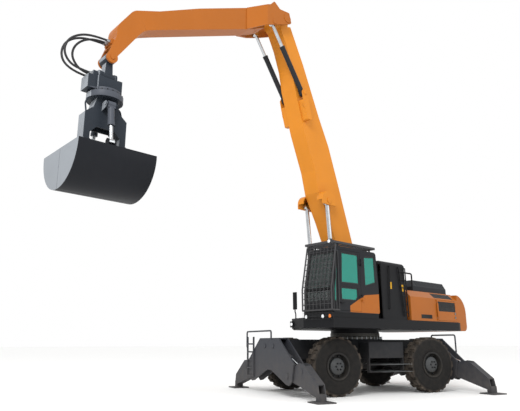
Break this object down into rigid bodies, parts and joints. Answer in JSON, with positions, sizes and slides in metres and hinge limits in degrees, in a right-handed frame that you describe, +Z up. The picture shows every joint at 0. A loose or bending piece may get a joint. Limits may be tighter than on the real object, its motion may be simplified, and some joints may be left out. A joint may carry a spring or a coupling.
{
  "type": "wheeled material handler",
  "caption": "Wheeled excavator-type material handler: slewing upper with cab, straight boom, gooseneck stick and clamshell grab on a four-outrigger wheeled chassis.",
  "frame": {"origin": "on the ground under the slewing axis", "axes": "+X forward along the undercarriage, +Y to its left, +Z up; the upper structure is turned on it as pictured"},
  "size_m": [13.2291, 6.2315, 10.8445],
  "materials": {
    "boom_paint": "gloss",
    "chassis_paint": "satin",
    "outrigger_paint": "satin",
    "black_paint": "satin",
    "cab_paint": "satin",
    "grab_paint": "satin",
    "rod_chrome": "polished",
    "ring_steel": "machined",
    "tread_rubber": "matte",
    "window_glass": "clear",
    "engine_casting": "cast",
    "seat_fabric": "woven",
    "hose_rubber": "matte"
  },
  "bodies": {
    "undercarriage": {"chassis_frame": "chassis_paint", "outrigger_boxes": "outrigger_paint", "axle_beams": "chassis_paint", "slew_ring": "ring_steel", "side_steps": "chassis_paint"},
    "knuckle_left": {"knuckle_left": "chassis_paint"},
    "knuckle_right": {"knuckle_right": "chassis_paint"},
    "wheel_front_left": {"rim_front_left": "black_paint", "tyre_front_left": "tread_rubber"},
    "wheel_front_right": {"rim_front_right": "black_paint", "tyre_front_right": "tread_rubber"},
    "wheel_rear_left": {"rim_rear_left": "black_paint", "tyre_rear_left": "tread_rubber"},
    "wheel_rear_right": {"rim_rear_right": "black_paint", "tyre_rear_right": "tread_rubber"},
    "leg_front_left": {"outrigger_leg_front_left": "outrigger_paint"},
    "leg_barrel_front_left": {"outrigger_barrel_front_left": "outrigger_paint"},
    "leg_rod_front_left": {"outrigger_rod_front_left": "rod_chrome"},
    "leg_front_right": {"outrigger_leg_front_right": "outrigger_paint"},
    "leg_barrel_front_right": {"outrigger_barrel_front_right": "outrigger_paint"},
    "leg_rod_front_right": {"outrigger_rod_front_right": "rod_chrome"},
    "leg_rear_left": {"outrigger_leg_rear_left": "outrigger_paint"},
    "leg_barrel_rear_left": {"outrigger_barrel_rear_left": "outrigger_paint"},
    "leg_rod_rear_left": {"outrigger_rod_rear_left": "rod_chrome"},
    "leg_rear_right": {"outrigger_leg_rear_right": "outrigger_paint"},
    "leg_barrel_rear_right": {"outrigger_barrel_rear_right": "outrigger_paint"},
    "leg_rod_rear_right": {"outrigger_rod_rear_right": "rod_chrome"},
    "upper": {"upper_frame": "chassis_paint", "counterweight": "boom_paint", "engine_block": "engine_casting", "engine_housing": "boom_paint", "cab_shell": "cab_paint", "cab_glass": "window_glass", "cab_guard": "cab_paint", "operator_station": "seat_fabric", "tanks": "black_paint", "rails_and_lamps": "black_paint"},
    "hood": {"engine_hood": "black_paint"},
    "service_door_left": {"service_door_left": "boom_paint"},
    "service_door_right": {"service_door_right": "boom_paint"},
    "cab_door": {"cab_door": "cab_paint", "cab_door_glass": "window_glass"},
    "boom": {"boom": "boom_paint"},
    "boom_barrels": {"boom_barrels": "black_paint"},
    "boom_rods": {"boom_rods": "rod_chrome"},
    "stick": {"stick": "boom_paint", "tip_hose_1": "hose_rubber", "tip_hose_2": "hose_rubber", "tip_hose_3": "hose_rubber"},
    "stick_barrels": {"stick_barrels": "black_paint"},
    "stick_rods": {"stick_rods": "rod_chrome"},
    "grab_link": {"grab_link": "grab_paint"},
    "grab_head": {"grab_head": "grab_paint"},
    "grab_frame": {"grab_frame": "grab_paint"},
    "grab_shell_left": {"grab_shell_left": "grab_paint"},
    "grab_barrel_left": {"grab_barrel_left": "grab_paint"},
    "grab_rod_left": {"grab_rod_left": "rod_chrome"},
    "grab_shell_right": {"grab_shell_right": "grab_paint"},
    "grab_barrel_right": {"grab_barrel_right": "grab_paint"},
    "grab_rod_right": {"grab_rod_right": "rod_chrome"}
  },
  "joints": [
    {"name": "steer_left", "type": "hinge", "parent": "undercarriage", "child": "knuckle_left", "pos_m": [1.55, 1, 0.745], "axis": [0, 0, 1], "range_deg": [-30, 30]},
    {"name": "steer_right", "type": "hinge", "parent": "undercarriage", "child": "knuckle_right", "pos_m": [1.55, -1, 0.745], "axis": [0, 0, 1], "range_deg": [-30, 30]},
    {"name": "wheel_front_left_spin", "type": "hinge", "parent": "knuckle_left", "child": "wheel_front_left", "pos_m": [1.55, 1.27, 0.745], "axis": [0, 1, 0], "continuous": true},
    {"name": "wheel_front_right_spin", "type": "hinge", "parent": "knuckle_right", "child": "wheel_front_right", "pos_m": [1.55, -1.27, 0.745], "axis": [0, 1, 0], "continuous": true},
    {"name": "wheel_rear_left_spin", "type": "hinge", "parent": "undercarriage", "child": "wheel_rear_left", "pos_m": [-1.55, 1.27, 0.745], "axis": [0, 1, 0], "continuous": true},
    {"name": "wheel_rear_right_spin", "type": "hinge", "parent": "undercarriage", "child": "wheel_rear_right", "pos_m": [-1.55, -1.27, 0.745], "axis": [0, 1, 0], "continuous": true},
    {"name": "leg_front_left_swing", "type": "hinge", "parent": "undercarriage", "child": "leg_front_left", "pos_m": [2.67, 1.05, 0.52], "axis": [1, 0, 0], "range_deg": [-12, 56]},
    {"name": "leg_barrel_front_left_tilt", "type": "hinge", "parent": "undercarriage", "child": "leg_barrel_front_left", "pos_m": [2.67, 0.25, 1.25], "axis": [1, 0, 0], "range_deg": [-4, 17.55]},
    {"name": "leg_rod_front_left_slide", "type": "slide", "parent": "leg_barrel_front_left", "child": "leg_rod_front_left", "axis": [0, 0.9263, -0.3769], "range_m": [-0.487, 0.1075]},
    {"name": "leg_front_right_swing", "type": "hinge", "parent": "undercarriage", "child": "leg_front_right", "pos_m": [2.67, -1.05, 0.52], "axis": [-1, 0, 0], "range_deg": [-12, 56]},
    {"name": "leg_barrel_front_right_tilt", "type": "hinge", "parent": "undercarriage", "child": "leg_barrel_front_right", "pos_m": [2.67, -0.25, 1.25], "axis": [-1, 0, 0], "range_deg": [-4, 17.55]},
    {"name": "leg_rod_front_right_slide", "type": "slide", "parent": "leg_barrel_front_right", "child": "leg_rod_front_right", "axis": [0, -0.9263, -0.3769], "range_m": [-0.487, 0.1075]},
    {"name": "leg_rear_left_swing", "type": "hinge", "parent": "undercarriage", "child": "leg_rear_left", "pos_m": [-2.67, 1.05, 0.52], "axis": [1, 0, 0], "range_deg": [-12, 56]},
    {"name": "leg_barrel_rear_left_tilt", "type": "hinge", "parent": "undercarriage", "child": "leg_barrel_rear_left", "pos_m": [-2.67, 0.25, 1.25], "axis": [1, 0, 0], "range_deg": [-4, 17.55]},
    {"name": "leg_rod_rear_left_slide", "type": "slide", "parent": "leg_barrel_rear_left", "child": "leg_rod_rear_left", "axis": [0, 0.9263, -0.3769], "range_m": [-0.487, 0.1075]},
    {"name": "leg_rear_right_swing", "type": "hinge", "parent": "undercarriage", "child": "leg_rear_right", "pos_m": [-2.67, -1.05, 0.52], "axis": [-1, 0, 0], "range_deg": [-12, 56]},
    {"name": "leg_barrel_rear_right_tilt", "type": "hinge", "parent": "undercarriage", "child": "leg_barrel_rear_right", "pos_m": [-2.67, -0.25, 1.25], "axis": [-1, 0, 0], "range_deg": [-4, 17.55]},
    {"name": "leg_rod_rear_right_slide", "type": "slide", "parent": "leg_barrel_rear_right", "child": "leg_rod_rear_right", "axis": [0, -0.9263, -0.3769], "range_m": [-0.487, 0.1075]},
    {"name": "slew", "type": "hinge", "parent": "undercarriage", "child": "upper", "pos_m": [0, 0, 1.6], "axis": [0, 0, 1], "continuous": true},
    {"name": "hood_open", "type": "hinge", "parent": "upper", "child": "hood", "pos_m": [-3.25948, -1.0121, 2.88], "axis": [0.2965, -0.955, 0], "range_deg": [0, 50]},
    {"name": "service_door_left_open", "type": "hinge", "parent": "upper", "child": "service_door_left", "pos_m": [-2.5259, 0.79681, 2.3], "axis": [0, 0, -1], "range_deg": [0, 100]},
    {"name": "service_door_right_open", "type": "hinge", "parent": "upper", "child": "service_door_right", "pos_m": [-1.63035, -2.08736, 2.3], "axis": [0, 0, 1], "range_deg": [0, 100]},
    {"name": "cab_door_open", "type": "hinge", "parent": "upper", "child": "cab_door", "pos_m": [1.02805, 1.91604, 2.9], "axis": [0, 0, 1], "range_deg": [0, 160]},
    {"name": "boom_lift", "type": "hinge", "parent": "upper", "child": "boom", "pos_m": [0, 0, 2.3], "axis": [0.2965, -0.955, 0], "range_deg": [-50, 8]},
    {"name": "boom_barrels_tilt", "type": "hinge", "parent": "upper", "child": "boom_barrels", "pos_m": [1.19378, 0.37068, 2.11], "axis": [0.2965, -0.955, 0], "range_deg": [-57.79, 9.5]},
    {"name": "boom_rods_slide", "type": "slide", "parent": "boom_barrels", "child": "boom_rods", "axis": [0.0835, 0.0259, 0.9962], "range_m": [-0.9997, 0.1633]},
    {"name": "stick_curl", "type": "hinge", "parent": "boom", "child": "stick", "pos_m": [2.98921, 0.92817, 10.52], "axis": [-0.2965, 0.955, 0], "range_deg": [-70, 30]},
    {"name": "stick_barrels_tilt", "type": "hinge", "parent": "boom", "child": "stick_barrels", "pos_m": [2.3207, 0.7206, 8.4], "axis": [-0.2965, 0.955, 0], "range_deg": [-5.93, 2.71]},
    {"name": "stick_rods_slide", "type": "slide", "parent": "stick_barrels", "child": "stick_rods", "axis": [0.5328, 0.1654, 0.8299], "range_m": [-0.2753, 0.637]},
    {"name": "link_swing", "type": "hinge", "parent": "stick", "child": "grab_link", "pos_m": [7.93622, 2.46426, 7.37], "axis": [0.2965, -0.955, 0], "range_deg": [-60, 60], "deforming": ["tip_hose_1", "tip_hose_2", "tip_hose_3"]},
    {"name": "head_swing", "type": "hinge", "parent": "grab_link", "child": "grab_head", "pos_m": [7.93622, 2.46426, 6.96], "axis": [0.955, 0.2965, 0], "range_deg": [-30, 30], "deforming": ["tip_hose_1", "tip_hose_2", "tip_hose_3"]},
    {"name": "grab_turn", "type": "hinge", "parent": "grab_head", "child": "grab_frame", "pos_m": [7.93622, 2.46426, 6.492], "axis": [0, 0, 1], "continuous": true},
    {"name": "shell_left_open", "type": "hinge", "parent": "grab_frame", "child": "grab_shell_left", "pos_m": [7.9036, 2.56931, 5.3], "axis": [0.955, 0.2965, 0], "range_deg": [0, 52]},
    {"name": "grab_barrel_left_tilt", "type": "hinge", "parent": "grab_frame", "child": "grab_barrel_left", "pos_m": [7.83836, 2.77942, 6.2], "axis": [0.955, 0.2965, 0], "range_deg": [-8.67, 0.3]},
    {"name": "grab_rod_left_slide", "type": "slide", "parent": "grab_barrel_left", "child": "grab_rod_left", "axis": [-0.0405, 0.1305, -0.9906], "range_m": [-0.2788, 0.004]},
    {"name": "shell_right_open", "type": "hinge", "parent": "grab_frame", "child": "grab_shell_right", "pos_m": [7.96884, 2.35921, 5.3], "axis": [-0.955, -0.2965, 0], "range_deg": [0, 52]},
    {"name": "grab_barrel_right_tilt", "type": "hinge", "parent": "grab_frame", "child": "grab_barrel_right", "pos_m": [8.03407, 2.1491, 6.2], "axis": [-0.955, -0.2965, 0], "range_deg": [-8.67, 0.3]},
    {"name": "grab_rod_right_slide", "type": "slide", "parent": "grab_barrel_right", "child": "grab_rod_right", "axis": [0.0405, -0.1305, -0.9906], "range_m": [-0.2788, 0.004]}
  ],
  "couplings": [
    {"joint": "steer_right", "follows": "steer_left", "ratio": 1},
    {"joint": "leg_barrel_front_left_tilt", "follows": "leg_front_left_swing", "ratio": 0.308},
    {"joint": "leg_rod_front_left_slide", "follows": "leg_front_left_swing", "m_per_rad": -0.4942},
    {"joint": "leg_barrel_front_right_tilt", "follows": "leg_front_right_swing", "ratio": 0.308},
    {"joint": "leg_rod_front_right_slide", "follows": "leg_front_right_swing", "m_per_rad": -0.4942},
    {"joint": "leg_barrel_rear_left_tilt", "follows": "leg_rear_left_swing", "ratio": 0.308},
    {"joint": "leg_rod_rear_left_slide", "follows": "leg_rear_left_swing", "m_per_rad": -0.4942},
    {"joint": "leg_barrel_rear_right_tilt", "follows": "leg_rear_right_swing", "ratio": 0.308},
    {"joint": "leg_rod_rear_right_slide", "follows": "leg_rear_right_swing", "m_per_rad": -0.4942},
    {"joint": "boom_barrels_tilt", "follows": "boom_lift", "ratio": 1.1498},
    {"joint": "boom_rods_slide", "follows": "boom_lift", "m_per_rad": 1.141},
    {"joint": "stick_barrels_tilt", "follows": "stick_curl", "ratio": 0.08041},
    {"joint": "stick_rods_slide", "follows": "stick_curl", "m_per_rad": -0.51815},
    {"joint": "grab_barrel_left_tilt", "follows": "shell_left_open", "ratio": -0.16095},
    {"joint": "grab_rod_left_slide", "follows": "shell_left_open", "m_per_rad": -0.30283},
    {"joint": "grab_barrel_right_tilt", "follows": "shell_left_open", "ratio": -0.16095},
    {"joint": "grab_rod_right_slide", "follows": "shell_left_open", "m_per_rad": -0.30283},
    {"joint": "shell_right_open", "follows": "shell_left_open", "ratio": 1}
  ]
}
